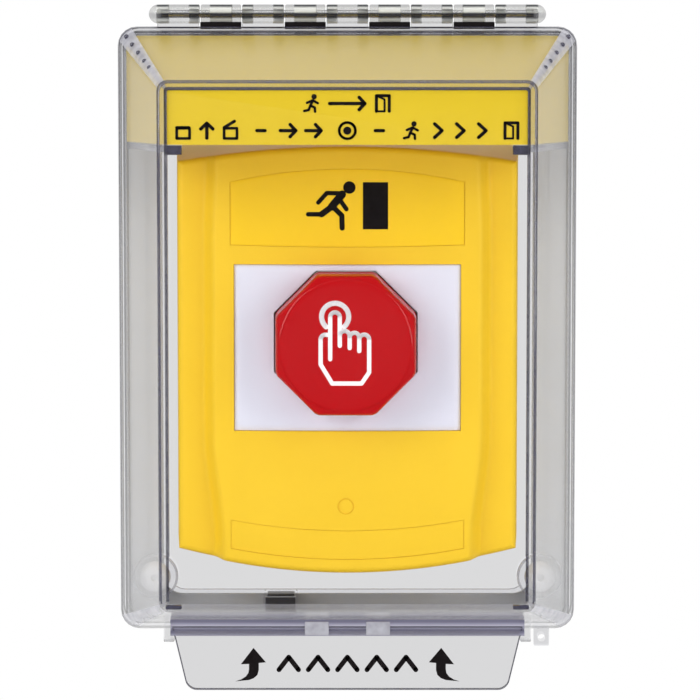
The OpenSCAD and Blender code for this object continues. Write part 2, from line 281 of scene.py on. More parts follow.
def carve(bm, tools, operation="DIFFERENCE"):
    """Cuts closed meshes out of a closed mesh, or joins them to it."""
    base, tools = as_tool(bm), [as_tool(tool) for tool in tools]
    for tool in tools:
        step = base.modifiers.new("step", "BOOLEAN")
        step.object, step.operation, step.solver = tool, operation, "EXACT"
    shape = base.evaluated_get(bpy.context.evaluated_depsgraph_get())
    result = bmesh.new()
    result.from_mesh(shape.to_mesh())
    shape.to_mesh_clear()
    for used in (base, *tools):
        bpy.data.objects.remove(used)
    return result


def extruded(bm, faces, vec):
    moved = bmesh.ops.extrude_face_region(bm, geom=faces)["geom"]
    verts = [g for g in moved if isinstance(g, bmesh.types.BMVert)]
    bmesh.ops.translate(bm, verts=verts, vec=vec)
    return verts


def round_edges(bm, radius, sharp=40):
    edges = [e for e in bm.edges if len(e.link_faces) == 2 and e.calc_face_angle(0) > math.radians(sharp)]
    bmesh.ops.bevel(bm, geom=edges, offset=radius, offset_type="OFFSET", segments=3, profile=0.5,
                    affect="EDGES", clamp_overlap=True, material=-1)


def to_front(bm, depth=0.0, x=0.0, z=0.0):
    """Turns a drawing in X and Y, with heights in Z, to stand on the wall side and face the front."""
    bmesh.ops.rotate(bm, verts=bm.verts, cent=(0, 0, 0), matrix=Matrix.Rotation(math.pi / 2, 3, "X"))
    bmesh.ops.translate(bm, verts=bm.verts, vec=(x, -depth, z))


def crowned_plate(half, low_edge, high_edge, back, front, columns=48, rows=24, roll=0.0):
    """A closed plate that follows the panel's crown, between two insets behind the panel's face.
    The heights of its ends are functions of x, and roll sinks its borders."""
    bm = bmesh.new()
    bmesh.ops.create_grid(bm, x_segments=columns, y_segments=rows, size=1)
    behind = list(bm.verts)
    before = extruded(bm, bm.faces[:], (0, 0, 1))
    for verts, inset in ((behind, back), (before, front)):
        for v in verts:
            u, w = v.co.x, v.co.y
            x = half * u
            low, high = low_edge(x), high_edge(x)
            margin = min(half * (1 - abs(u)), (1 + w) / 2 * (high - low), (1 - w) / 2 * (high - low))
            sink = roll * (1 - ease(margin / max(roll * 1.6, 0.01))) if verts is before else 0
            v.co = (x, -(front_depth(x) - inset - sink), low + (w + 1) / 2 * (high - low))
    return bm


def octagon(flats, depth, corner=0.0):
    """An octagonal face with rounded corners, facing the front at the button's place."""
    bm = bmesh.new()
    made = bmesh.ops.create_circle(bm, cap_ends=True, segments=8, radius=flats / 2 / math.cos(math.pi / 8),
                                   matrix=Matrix.Rotation(math.pi / 8, 4, "Z"))
    if corner:
        bmesh.ops.bevel(bm, geom=made["verts"], offset=corner, affect="VERTICES", segments=4,
                        profile=0.5, material=-1)
    to_front(bm, depth, BUTTON_X, BUTTON_Z)
    return bm


def octagon_block(flats, near, far):
    bm = octagon(flats, near)
    extruded(bm, bm.faces[:], (0, near - far, 0))
    return bm


def turned(profile, steps=48):
    """A solid turned from (radius, height) points about the Z axis."""
    bm = bmesh.new()
    verts = [bm.verts.new((radius, 0, height)) for radius, height in profile]
    edges = [bm.edges.new(pair) for pair in zip(verts, verts[1:])]
    bmesh.ops.spin(bm, geom=verts + edges, cent=(0, 0, 0), axis=(0, 0, 1), angle=2 * math.pi, steps=steps,
                   use_merge=True)
    bmesh.ops.remove_doubles(bm, verts=bm.verts, dist=0.001)
    return bm


def housing_shell():
    bm = bmesh.new()
    bmesh.ops.create_grid(bm, x_segments=150, y_segments=190, size=1)
    half = HOUSING_HALF - SIDE_DRAFT
    for v in bm.verts:
        # rows and columns crowd towards the borders, where the front rounds off
        u, w = (math.sin(a * CROWDING) / math.sin(CROWDING) for a in (v.co.x, v.co.y))
        x = half * u
        high = HOUSING_TOP - TOP_DRAFT - fall(x, HOUSING_HALF, TOP_RISE)
        low = HOUSING_BOTTOM + fall(x, HOUSING_HALF, BOTTOM_DROP)
        z = low + (w + 1) / 2 * (high - low)
        margin = min(half - abs(x), high - z, z - low)
        over = max(FRONT_ROUND - margin, 0)
        sink = FRONT_ROUND - math.sqrt(max(FRONT_ROUND ** 2 - over ** 2, 0))
        v.co = (x, -(front_depth(x, z) - sink), z)
    moved = bmesh.ops.extrude_edge_only(bm, edges=[e for e in bm.edges if e.is_boundary])["geom"]
    for v in (g for g in moved if isinstance(g, bmesh.types.BMVert)):
        v.co.x *= HOUSING_HALF / half
        v.co.z += TOP_DRAFT + TOP_FLARE * (v.co.x / HOUSING_HALF) ** 2 if v.co.z > 0 else 0
        v.co.y = -HOUSING_BACK
    bmesh.ops.recalc_face_normals(bm, faces=bm.faces)
    bmesh.ops.solidify(bm, geom=bm.faces[:], thickness=HOUSING_WALL)
    return bm


BUTTON_X, BUTTON_Z = -0.5, -1.8
BUTTON_FLATS, SKIRT_FLATS, BUTTON_DEPTH = 42.2, 43.4, 50.0
LABEL_HALF, LABEL_LOW, LABEL_TOP, LABEL_SAG, LABEL_RISE = 36.0, 27.5, 51.5, 0.6, 4.0
INSERT_HALF, INSERT_LOW, INSERT_TOP = 34.9, -29.2, 22.2
LOWER_LABEL_LOW, LOWER_LABEL_TOP, LOWER_LABEL_RISE = -69.0, -60.0, 3.2
LABEL_BED, LOWER_LABEL_BED, INSERT_BED = 0.8, 0.55, 2.4  # how deep each plate's pocket is
PLATE_GAP, OPEN = 0.12, -4  # a pocket's tool reaches out past the panel
CUT_BACK, CUT_FRONT = 20, 50  # reach of the button's opening


def top_label(gap, back, front, roll=0.0):
    return crowned_plate(LABEL_HALF - gap, lambda x: LABEL_LOW + gap + LABEL_SAG * (x / LABEL_HALF) ** 2,
                         lambda x: LABEL_TOP - gap - fall(x, LABEL_HALF, LABEL_RISE),
                         back, front, roll=roll)


def lower_label(gap, back, front, roll=0.0):
    return crowned_plate(LABEL_HALF - gap,
                         lambda x: LOWER_LABEL_LOW + gap + fall(x, LABEL_HALF, LOWER_LABEL_RISE),
                         lambda x: LOWER_LABEL_TOP - gap + fall(x, LABEL_HALF, LOWER_LABEL_RISE),
                         back, front, rows=10, roll=roll)


def insert_plate(gap, back, front, roll=0.0):
    return crowned_plate(INSERT_HALF - gap, lambda x: INSERT_LOW + gap, lambda x: INSERT_TOP - gap,
                         back, front, columns=60, rows=40, roll=roll)


def moulded_yellow():
    f = Finish("moulded_yellow")
    stipple, mottle = f.noise(2600), f.noise(38, 3.0)
    return f.done(f.shell(
        Base_Color=f.colours(mottle, (0.870, 0.550, 0.016), (0.905, 0.585, 0.024)),
        Roughness=0.46 + mottle * 0.08, IOR=1.36,
        Normal=f.bump(stipple + f.noise(900) * 0.6, 0.00002)))


knock_out = turned([(2.15, 38.2), (2.5, 38.2), (2.5, 42), (2.15, 42), (2.15, 38.2)])
to_front(knock_out, 0, -0.5, -52.4)
shell = carve(housing_shell(), [
    top_label(0, LABEL_BED, OPEN), lower_label(0, LOWER_LABEL_BED, OPEN), insert_plate(0, INSERT_BED, OPEN),
    octagon_block(SKIRT_FLATS + 4, CUT_BACK, CUT_FRONT), knock_out])
yellow = moulded_yellow()
piece("housing_shell", shell, yellow, "station", ["housing"])


# ---------- Label plates: smooth yellow plates in pockets of the panel, with printed pictograms ----------
# The upper one shows a running figure and a door, printed in black. The lower one is blank.


def label_yellow():
    f = Finish("label_yellow")
    drift = f.noise(30)
    return f.done(f.shell(Base_Color=f.colours(drift, (0.915, 0.575, 0.006), (0.950, 0.615, 0.010)),
                          Roughness=0.34 + drift * 0.06, IOR=1.36,
                          Normal=f.bump(f.noise(1500), 0.000004)))


def printed_black():
    f = Finish("printed_black")
    return f.done(f.shell(Base_Color=f.colours(f.noise(700), (0.006, 0.004, 0.004), (0.011, 0.009, 0.010)),
                          Roughness=0.5, IOR=1.15))


def stroke(bm, points, width):
    """A printed line of one width along points in X and Z, with rounded joints."""
    for (x0, z0), (x1, z1) in zip(points, points[1:]):
        along = Vector((x1 - x0, z1 - z0, 0))
        made = bmesh.ops.create_grid(bm, x_segments=1, y_segments=1, size=0.5)["verts"]
        turn = Matrix.Rotation(math.atan2(along.y, along.x), 4, "Z")
        place = Matrix.Translation(((x0 + x1) / 2, (z0 + z1) / 2, 0)) @ turn
        bmesh.ops.scale(bm, verts=made, vec=(along.length, width, 1))
        bmesh.ops.transform(bm, verts=made, matrix=place)
    for px, pz in points:
        disc(bm, px, pz, width / 2, 20)


def disc(bm, x, z, radius, segments):
    bmesh.ops.create_circle(bm, cap_ends=True, segments=segments, radius=radius,
                            matrix=Matrix.Translation((x, z, 0)))


def arc(cx, cz, radius, start, end, steps=16):
    turns = [math.radians(start + (end - start) * i / steps) for i in range(steps + 1)]
    return [(cx + radius * math.cos(turn), cz + radius * math.sin(turn)) for turn in turns]


def print_piece(name, bm, material, body, depth_at, thickness):
    """Gives flat printed shapes their thickness and lays them on a surface."""
    extruded(bm, bm.faces[:], (0, 0, thickness))
    for v in bm.verts:
        x, z, height = v.co
        v.co = (x, -(depth_at(x, z) + height), z)
    return piece(name, bm, material, body)


smooth_yellow, ink = label_yellow(), printed_black()
piece("top_label", top_label(PLATE_GAP, LABEL_BED, 0.12, 0.10), smooth_yellow, "station",
      ["top_label_plate"])
piece("lower_label", lower_label(PLATE_GAP, LOWER_LABEL_BED, 0.08, 0.10), yellow, "station",
      ["lower_label_plate"])

figure = bmesh.new()
disc(figure, 0.6, 45.8, 1.9, 32)
stroke(figure, [(-1.2, 44.0), (-6.3, 44.1), (-8.9, 41.2)], 1.35)
stroke(figure, [(-1.6, 43.7), (-4.8, 39.9)], 2.4)
stroke(figure, [(-2.4, 42.2), (-0.3, 39.2)], 1.4)
stroke(figure, [(-4.9, 39.8), (-7.9, 37.6)], 1.9)
stroke(figure, [(-7.7, 37.6), (-12.0, 37.6)], 1.4)
stroke(figure, [(-4.1, 39.6), (-1.7, 37.2), (-1.6, 33.4)], 1.6)
door = bmesh.ops.create_grid(figure, x_segments=8, y_segments=1, size=0.5)["verts"]
bmesh.ops.scale(figure, verts=door, vec=(7.7, 14.4, 1))
bmesh.ops.translate(figure, verts=door, vec=(8.6, 40.2, 0))
print_piece("running_figure_print", figure, ink, "station",
            lambda x, z: front_depth(x) - 0.14, 0.08)


# ---------- White insert: a smooth moulded plate round the button ----------
# It drops into its pocket in the panel, with an eight-sided hole that clears the button's skirt.


def insert_white():
    f = Finish("insert_white")
    drift = f.noise(26)
    return f.done(f.shell(Base_Color=f.colours(drift, (0.73, 0.74, 0.84), (0.77, 0.78, 0.875)),
                          Roughness=0.28 + drift * 0.05, Normal=f.bump(f.noise(1200), 0.000004)))


plate = carve(insert_plate(PLATE_GAP, INSERT_BED, 0.5, 0.35),
              [octagon_block(SKIRT_FLATS + 0.8, CUT_BACK, CUT_FRONT)])
piece("button_surround_plate", plate, insert_white(), "station", ["button_surround"])


# ---------- Push button: a deep red eight-sided cap with a low dome and a printed hand ----------
# Glossy moulding pressed on a steel shaft, on a coil spring. The print is a thin white line.


def red_gloss():
    f = Finish("red_gloss")
    drift = f.noise(45)
    return f.done(f.shell(Base_Color=f.colours(drift, (0.450, 0.0035, 0.0060), (0.485, 0.0050, 0.0080)),
                          Roughness=0.14 + drift * 0.05, IOR=1.34, Coat_Weight=0.05, Coat_Roughness=0.04,
                          Normal=f.bump(f.noise(160), 0.00001)))


def printed_white():
    f = Finish("printed_white")
    return f.done(f.shell(Base_Color=f.colours(f.noise(600), (0.90, 0.86, 0.87), (0.94, 0.91, 0.92)),
                          Roughness=0.4))


def loft(rings, cap_first=True, closed=False):
    """Bridges faces with equal corners, one after another, into one skin."""
    bm = bmesh.new()
    loops = []
    for ring in rings:
        start = len(bm.edges)
        mesh = bpy.data.meshes.new("ring")
        ring.to_mesh(mesh)
        ring.free()
        bm.from_mesh(mesh)
        bpy.data.meshes.remove(mesh)
        bm.edges.ensure_lookup_table()
        loops.append(bm.edges[start:])
    bmesh.ops.delete(bm, geom=bm.faces[:], context="FACES_ONLY")
    for one, two in list(zip(loops, loops[1:])) + ([(loops[-1], loops[0])] if closed else []):
        bmesh.ops.bridge_loops(bm, edges=one + two)
    if not closed:
        for loop in (loops[0], loops[-1])[0 if cap_first else 1:]:
            bmesh.ops.edgeloop_fill(bm, edges=loop)
    return bm


cap_rings = [(SKIRT_FLATS - 5, BUTTON_DEPTH - 3), (SKIRT_FLATS - 5, 32.2), (SKIRT_FLATS - 0.6, 32.0),
             (SKIRT_FLATS, 32.4), (SKIRT_FLATS, 38.6), (SKIRT_FLATS - 0.3, 39.0),
             (BUTTON_FLATS + 0.5, BUTTON_DEPTH - 1.5), (BUTTON_FLATS + 0.1, BUTTON_DEPTH - 0.7),
             (BUTTON_FLATS - 0.7, BUTTON_DEPTH - 0.15), (BUTTON_FLATS - 1.6, BUTTON_DEPTH)]
cap = loft([octagon(flats, depth, 1.2) for flats, depth in cap_rings])
piece("button_cap_shell", cap, red_gloss(), "button", ["button_cap"])

DOME_RADIUS, DOME_RISE = 20.3, 0.55
dome = turned([(DOME_RADIUS, -0.3), (DOME_RADIUS, 0.02), (DOME_RADIUS - 0.25, 0.16),
               (DOME_RADIUS - 0.8, 0.27), (DOME_RADIUS - 2.5, 0.38), (DOME_RADIUS * 0.6, 0.48),
               (DOME_RADIUS * 0.3, 0.53), (0, DOME_RISE)], 96)
to_front(dome, BUTTON_DEPTH, BUTTON_X, BUTTON_Z)
piece("button_dome", dome, red_gloss(), "button")


def dome_depth(x, z):
    away = math.hypot(x - BUTTON_X, z - BUTTON_Z) / DOME_RADIUS
    return BUTTON_DEPTH + 0.50 - 0.16 * away * away


hand = bmesh.new()
stroke(hand, arc(-3.7, 7.1, 4.1, -48, 228, 40), 1.55)
stroke(hand, [(-5.2, -5.8), (-5.2, 7.0), *arc(-3.75, 7.0, 1.45, 180, 0), (-2.3, -1.7)], 1.3)
stroke(hand, [*arc(-0.8, 1.3, 1.5, 180, 0, 10), (0.7, -2.4)], 1.3)
stroke(hand, [*arc(2.15, 0.8, 1.45, 180, 0, 10), (3.6, -3.3)], 1.3)
stroke(hand, [*arc(5.1, 0.2, 1.5, 180, 0, 10), (6.6, -9.8), (4.3, -13.2), (-4.6, -13.2), (-8.1, -7.4),
              *arc(-6.65, 0.2, 1.45, 180, 90, 8), (-5.2, 1.6)], 1.3)
print_piece("pressing_hand_print", hand, printed_white(), "button", dome_depth, 0.12)


# ---------- Works behind the cap: bracket, bush, contacts and spring ----------
# A plated bracket on the housing's posts carries two contact blocks and the shaft's bush.
# Stock parts: pressed steel, moulded blocks, plated screws. The latch and lock reset the button.


def plated(name, one, two, rough, stretch=(1, 1, 1)):
    f = Finish(name)
    brushed, spangle = f.noise(1400, 3.0, stretch), f.noise(160, 3.0)
    return f.done(f.shell(Base_Color=f.colours(spangle, one, two), Metallic=1.0,
                          Roughness=rough + brushed * 0.14, Normal=f.bump(brushed, 0.000008)))


def moulded(name, one, two, rough=0.42, grain=1800, depth=0.00001):
    f = Finish(name)
    speck = f.noise(grain)
    return f.done(f.shell(Base_Color=f.colours(f.noise(60, 3.0), one, two), Roughness=rough + speck * 0.08,
                          Normal=f.bump(speck, depth)))


def coat(material, *nodes):
    """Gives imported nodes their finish."""
    for node in nodes:
        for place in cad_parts[node].material_slots:
            place.material = material


zinc = plated("zinc_plate", (0.56, 0.58, 0.60), (0.66, 0.67, 0.68), 0.28)
ground_steel = plated("ground_steel", (0.55, 0.55, 0.57), (0.64, 0.64, 0.66), 0.20, (0.05, 1, 1))
nickel = plated("nickel_plate", (0.60, 0.57, 0.50), (0.68, 0.65, 0.58), 0.24)
chrome = plated("chrome_plate", (0.70, 0.70, 0.71), (0.78, 0.78, 0.79), 0.06)
spring_steel = plated("spring_steel", (0.30, 0.31, 0.33), (0.40, 0.41, 0.43), 0.30)
acetal = moulded("acetal", (0.78, 0.77, 0.70), (0.83, 0.82, 0.76), 0.38)
black_plastic = moulded("black_plastic", (0.012, 0.012, 0.013), (0.020, 0.020, 0.022))
coat(zinc, "back_plate", "switch_bracket", "lock_cam", "reset_latch")
coat(plated("blackened_steel", (0.13, 0.13, 0.14), (0.18, 0.18, 0.19), 0.30), "striker_plate")
coat(ground_steel, "button_shaft", "housing_screws", "bracket_screws")
coat(nickel, "terminal_screws", "lock_nut")
coat(chrome, "lock_body", "lock_plug")
coat(spring_steel, "shaft_clip")
coat(acetal, "guide_bush", "contact_plungers")
coat(black_plastic, "actuator_bar")
coat(moulded("green_block", (0.010, 0.130, 0.035), (0.016, 0.170, 0.050)), "contact_block_left")
coat(moulded("red_block", (0.330, 0.010, 0.010), (0.400, 0.016, 0.014)), "contact_block_right")


COIL_RADIUS, COIL_WIRE, COIL_NEAR, COIL_FAR, COIL_TURNS, COIL_STEPS = 7.2, 0.6, 27.7, 46.3, 6, 28
coil = bmesh.new()
rings = []
for i in range(COIL_TURNS * COIL_STEPS + 1):
    turn, run = 2 * math.pi * i / COIL_STEPS, i / (COIL_TURNS * COIL_STEPS)
    rings.append([coil.verts.new((
        BUTTON_X + (COIL_RADIUS + COIL_WIRE * math.cos(side)) * math.cos(turn),
        -(COIL_NEAR + run * (COIL_FAR - COIL_NEAR)) - COIL_WIRE * math.sin(side),
        BUTTON_Z + (COIL_RADIUS + COIL_WIRE * math.cos(side)) * math.sin(turn)))
        for side in (math.pi / 4 * k for k in range(8))])
for one, two in zip(rings, rings[1:]):
    for k in range(8):
        coil.faces.new((one[k], one[(k + 1) % 8], two[(k + 1) % 8], two[k]))
for end in (rings[0], rings[-1]):
    coil.faces.new(end)
coil = piece("return_coil", coil, spring_steel, "station", ["return_spring"])
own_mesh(coil)


# ---------- Mounting frame: a clear ring on a foam seal, screwed to the wall at its corners ----------
# Moulded polycarbonate with a raised rim, corner bosses, four hinge knuckles and a post for a
# break-away seal. The domed screw heads are painted white, and a dark magnet holds the cover shut.

RIM_W, RIM_H, RIM_CORNER, WALL = 144.0, 190.6, 6.0, 2.0
POLYCARBONATE = 1.585
SEAL_BACK, FRAME_FRONT = 1.5, 10.0
CORNER_X, CORNER_Z, BOSS_FRONT = 61.5, 79.6, 6.0
HINGE_DEPTH, HINGE_Z, KNUCKLE_R, KNUCKLE_STEP, PIN_R, PIN_FIT = 8.0, 99.3, 3.0, 26.5, 1.2, 0.05
FRAME_KNUCKLES = [KNUCKLE_STEP * n for n in (-1.5, -0.5, 0.5, 1.5)]
COVER_KNUCKLES = [KNUCKLE_STEP * n for n in (-2, -1, 0, 1, 2)]


def clear_moulding(name, tint, rough=0.015, ripple=0.000008):
    """Clear polycarbonate in thin walls: it shows what is behind it unbent, and mirrors more the
    more it turns away."""
    f = Finish(name)
    facing = f.node("LayerWeight", output=1, i0=0.5)
    flow = f.noise(90, 2.0, (1, 1, 0.25))
    sheen = f.node("BsdfGlossy", i0=(1.0, 1.0, 1.0), i1=rough, Normal=f.bump(flow, ripple))
    return f.done(f.node("MixShader", i0=0.012 + facing ** 5.0 * 0.9,
                         i1=f.node("BsdfTransparent", i0=tint), i2=sheen))


def painted_edge_glass(name, tint, solid=0.72):
    """Painted shade and painted reflection: where the clear moulding turns a corner, a dark, partly opaque
    colour with random lighter streaks stands in for the dark surroundings that it bends into view.
    """
    f = Finish(name)
    painted_streak = f.noise(260, 2.0)
    return f.done(f.shell(Base_Color=f.colours(painted_streak, tint, tuple(1.9 * c for c in tint)), Roughness=0.06,
                          IOR=POLYCARBONATE, Alpha=solid + painted_streak * 0.25))


def hinge_glass_painted_bands():
    """Knuckles round the pin, with painted shade and highlight: grey blocks where the moulding is thick, and
    dark and light bands painted along the barrel in place of the light that the round barrel bends.
    """
    f = Finish("hinge_glass_painted_bands")
    where = f.node("TexCoord", output=3)
    x, height = (f.node("SeparateXYZ", output=i, i0=where) * 1000.0 for i in (0, 2))
    away = maths("PINGPONG", x - KNUCKLE_STEP / 2, KNUCKLE_STEP / 2)
    core = ((3.6 - away) * 3.0).clamp()
    ends = ((2.0 - maths("ABSOLUTE", away - 8.2)) * 3.0).clamp()
    painted_bands = (maths("SINE", height * 1.745 + 2.0) * 0.9 + 0.5).clamp()
    return f.done(f.shell(Base_Color=f.colours(painted_bands, (0.035, 0.035, 0.042), (0.60, 0.61, 0.58)),
                          Roughness=0.08, IOR=POLYCARBONATE, Alpha=0.20 + (core + ends).clamp() * 0.70))


def mark(made, finish, test):
    """Gives another finish to the faces that a test picks by centre and normal, in millimetres."""
    made.data.materials.append(finish)
    last = len(made.data.materials) - 1
    for face in made.data.polygons:
        if test(face.center * 1000, face.normal):
            face.material_index = last


def rounded_face(width, height, corner, depth, mid_z=0.0):
    bm = bmesh.new()
    made = bmesh.ops.create_grid(bm, x_segments=1, y_segments=1, size=0.5)["verts"]
    bmesh.ops.scale(bm, verts=made, vec=(width, height, 1))
    bmesh.ops.bevel(bm, geom=made, offset=corner, affect="VERTICES", segments=5, profile=0.5, material=-1)
    to_front(bm, depth, 0, mid_z)
    return bm


def bar(low, high, radius=0.3):
    """A block between two corners with rounded edges."""
    bm = bmesh.new()
    low, high = Vector(low), Vector(high)
    bmesh.ops.create_cube(bm, size=1)
    bmesh.ops.scale(bm, verts=bm.verts, vec=high - low)
    bmesh.ops.translate(bm, verts=bm.verts, vec=(low + high) / 2)
    bmesh.ops.bevel(bm, geom=bm.edges[:], offset=radius, segments=2, profile=0.5, affect="EDGES",
                    clamp_overlap=True, material=-1)
    return bm


def rod(radius, length, centre, axis="X", segments=40, round_off=0.0):
    bm = bmesh.new()
    bmesh.ops.create_cone(bm, cap_ends=True, segments=segments, radius1=radius, radius2=radius, depth=length)
    if round_off:
        round_edges(bm, round_off)
    if axis == "X":
        bmesh.ops.rotate(bm, verts=bm.verts, cent=(0, 0, 0), matrix=Matrix.Rotation(math.pi / 2, 3, "Y"))
    if axis == "Y":
        bmesh.ops.rotate(bm, verts=bm.verts, cent=(0, 0, 0), matrix=Matrix.Rotation(math.pi / 2, 3, "X"))
    bmesh.ops.translate(bm, verts=bm.verts, vec=centre)
    return bm


frame_clear = clear_moulding("clear_frame", (0.955, 0.955, 0.965), ripple=0.00004)
# Painted shade for the clear mouldings' edges: dark, grey and pale grey copies of one painted-edge finish.
painted_dark_edge = painted_edge_glass("painted_dark_clear_edge", (0.040, 0.039, 0.060))
painted_soft_edge = painted_edge_glass("painted_soft_clear_edge", (0.22, 0.22, 0.25), 0.45)
painted_pale_edge = painted_edge_glass("painted_pale_clear_edge", (0.40, 0.40, 0.44), 0.55)
painted_banded = hinge_glass_painted_bands()
inner_w, inner_h = RIM_W - 2 * WALL, RIM_H - 2 * WALL
web = SEAL_BACK + 2
ring = loft([rounded_face(w, h, corner, depth) for w, h, corner, depth in (
    (114.6, 168.6, 5.3, web), (114, 168, 5, web - 0.3), (114, 168, 5, SEAL_BACK),
    (RIM_W - 0.8, RIM_H - 0.8, RIM_CORNER - 0.4, SEAL_BACK), (RIM_W, RIM_H, RIM_CORNER, SEAL_BACK + 0.4),
    (RIM_W, RIM_H, RIM_CORNER, FRAME_FRONT - 0.5), (RIM_W - 1, RIM_H - 1, RIM_CORNER - 0.5, FRAME_FRONT),
    (inner_w + 0.6, inner_h + 0.6, 4.3, FRAME_FRONT), (inner_w, inner_h, 4, FRAME_FRONT - 0.3),
    (inner_w, inner_h, 4, web + 0.6), (inner_w - 1.2, inner_h - 1.2, 3.4, web))], closed=True)
corners = [(x * CORNER_X, z * CORNER_Z) for x in (-1, 1) for z in (-1, 1)]
joined = []
for x, z in corners:
    boss = turned([(0, SEAL_BACK + 0.05), (7.4, SEAL_BACK + 0.05), (7.4, BOSS_FRONT - 0.6),
                   (7.1, BOSS_FRONT - 0.15), (6.6, BOSS_FRONT), (0, BOSS_FRONT)], 40)
    to_front(boss, 0, x, z)
    joined.append(boss)
for x in FRAME_KNUCKLES:
    joined.append(rod(KNUCKLE_R, 12.6, (x, -HINGE_DEPTH, HINGE_Z), round_off=0.4))
    joined.append(bar((x - 6.2, -9.6, RIM_H / 2 - 1), (x + 6.2, -5.4, HINGE_Z), 0.3))
joined.append(bar((59.5, -8, -RIM_H / 2 - 6.5), (64.5, -3, -RIM_H / 2 + 0.5), 0.5))
ring = carve(ring, joined, "UNION")
cuts = [rod(2.2, 14, (x, -3, z), "Y", 24) for x, z in corners]
cuts += [rod(PIN_R + PIN_FIT, 124, (0, -HINGE_DEPTH, HINGE_Z), "X", 24),
         rod(1.2, 14, (62, -5, -RIM_H / 2 - 3.8), "Y", 20)]
ring = piece("mounting_frame_ring", carve(ring, cuts), frame_clear, "station",
             ["mounting_frame"])
# Painted shade: the frame's outer and inner chamfers take the dark and grey painted-edge finishes.
mark(ring, painted_dark_edge, lambda c, n: 0.15 < abs(n.y) < 0.97 and (abs(c.x) > 69 or 92 < abs(c.z) < 95.4))
mark(ring, painted_soft_edge, lambda c, n: 0.15 < abs(n.y) < 0.97 and abs(c.x) < 69 and abs(c.z) < 92)
# Painted shade and highlight bands on the frame's knuckles.
mark(ring, painted_banded, lambda c, n: c.z > 96)

white_paint = moulded("white_paint", (0.52, 0.52, 0.54), (0.60, 0.60, 0.62), 0.16, 500, 0.000004)
for number, (x, z) in enumerate(corners):
    head = turned([(0, 0.3), (1.9, 0.3), (1.9, 6.05), (4.7, 6.05), (5.0, 6.3), (4.95, 6.9), (4.5, 7.8),
                   (3.7, 8.6), (2.6, 9.15), (1.35, 9.38), (1.1, 9.3), (0.9, 8.3), (0, 8.3)], 40)
    to_front(head, 0, x, z)
    piece(f"frame_screw_{number + 1}", head, white_paint, "station",
          ["frame_screws"] if number == 0 else [])
foam = moulded("seal_foam", (0.40, 0.41, 0.42), (0.50, 0.51, 0.52), 0.85, 2200, 0.00006)
coat(foam, "frame_gasket")
coat(ground_steel, "hinge_pin")

magnet = bar((-25.6, -9, -89.0), (-16.9, -3.6, -84.7), 0.35)
magnet_coat = moulded("magnet_coat", (0.035, 0.035, 0.042), (0.055, 0.055, 0.062), 0.3)
piece("closing_magnet_block", magnet, magnet_coat, "station", ["closing_magnet"])
for side, x in (("left", -26.3), ("right", -16.2)):
    clip = bar((x - 0.55, -9.2, -89.3), (x + 0.55, -3.55, -84.3), 0.3)
    piece("magnet_clip_" + side, clip, frame_clear, "station")

# Painted shade: thin black bars behind the knuckle arms stand in for the dark seen in the gaps under the
# barrel.
for number, x in enumerate(FRAME_KNUCKLES):
    piece(f"painted_hinge_gap_shade_{number + 1}", bar((x - 6.45, -10.1, 94.5), (x + 6.45, -9.65, 96.8), 0.2), ink,
          "station")


# ---------- Lift-up cover: a deep clear box that tapers towards its front, hinged along its top ----------
# Moulded polycarbonate, 2 mm thick, with five knuckles on arms, rails that carry the hood's
# lower edge, and small blocks at their front ends.

COVER_BACK, COVER_FRONT, FRONT_W, FRONT_H, FRONT_MID = 10.3, 70.0, 112.6, 158.5, -0.75
FLANGE, RIM_LINE = COVER_BACK + 1.6, 1.5


def cover_sections(inset, depths):
    """Rounded outlines of the cover, inset from its outside, from the rim to the front face."""
    rim_corner, face_corner = max(RIM_CORNER - inset, 0.5), max(3.2 - inset, 0.9)
    wide, tall = FRONT_W - 2 * inset, FRONT_H - 2 * inset
    front = COVER_FRONT - inset
    t = RIM_LINE / (COVER_FRONT - 1.2 - FLANGE)
    return [rounded_face(RIM_W - 2 * inset, RIM_H - 2 * inset, rim_corner, depth) for depth in depths] + [
        rounded_face(RIM_W - 2 * inset + t * (FRONT_W - RIM_W), RIM_H - 2 * inset + t * (FRONT_H - RIM_H),
                     rim_corner, FLANGE + RIM_LINE, t * FRONT_MID),
        rounded_face(wide, tall, face_corner, front - 1.2, FRONT_MID),
        rounded_face(wide - 0.3, tall - 0.3, face_corner, front - 0.6, FRONT_MID),
        rounded_face(wide - 1.0, tall - 1.0, max(face_corner - 0.3, 0.6), front - 0.15, FRONT_MID),
        rounded_face(wide - 2.0, tall - 2.0, max(face_corner - 0.6, 0.4), front, FRONT_MID)]


def wall_x(depth, inset=0.0):
    """Half width of the cover's side wall at a depth."""
    t = (depth - FLANGE) / (COVER_FRONT - 1.2 - FLANGE)
    return RIM_W / 2 + t * (FRONT_W - RIM_W) / 2 - inset


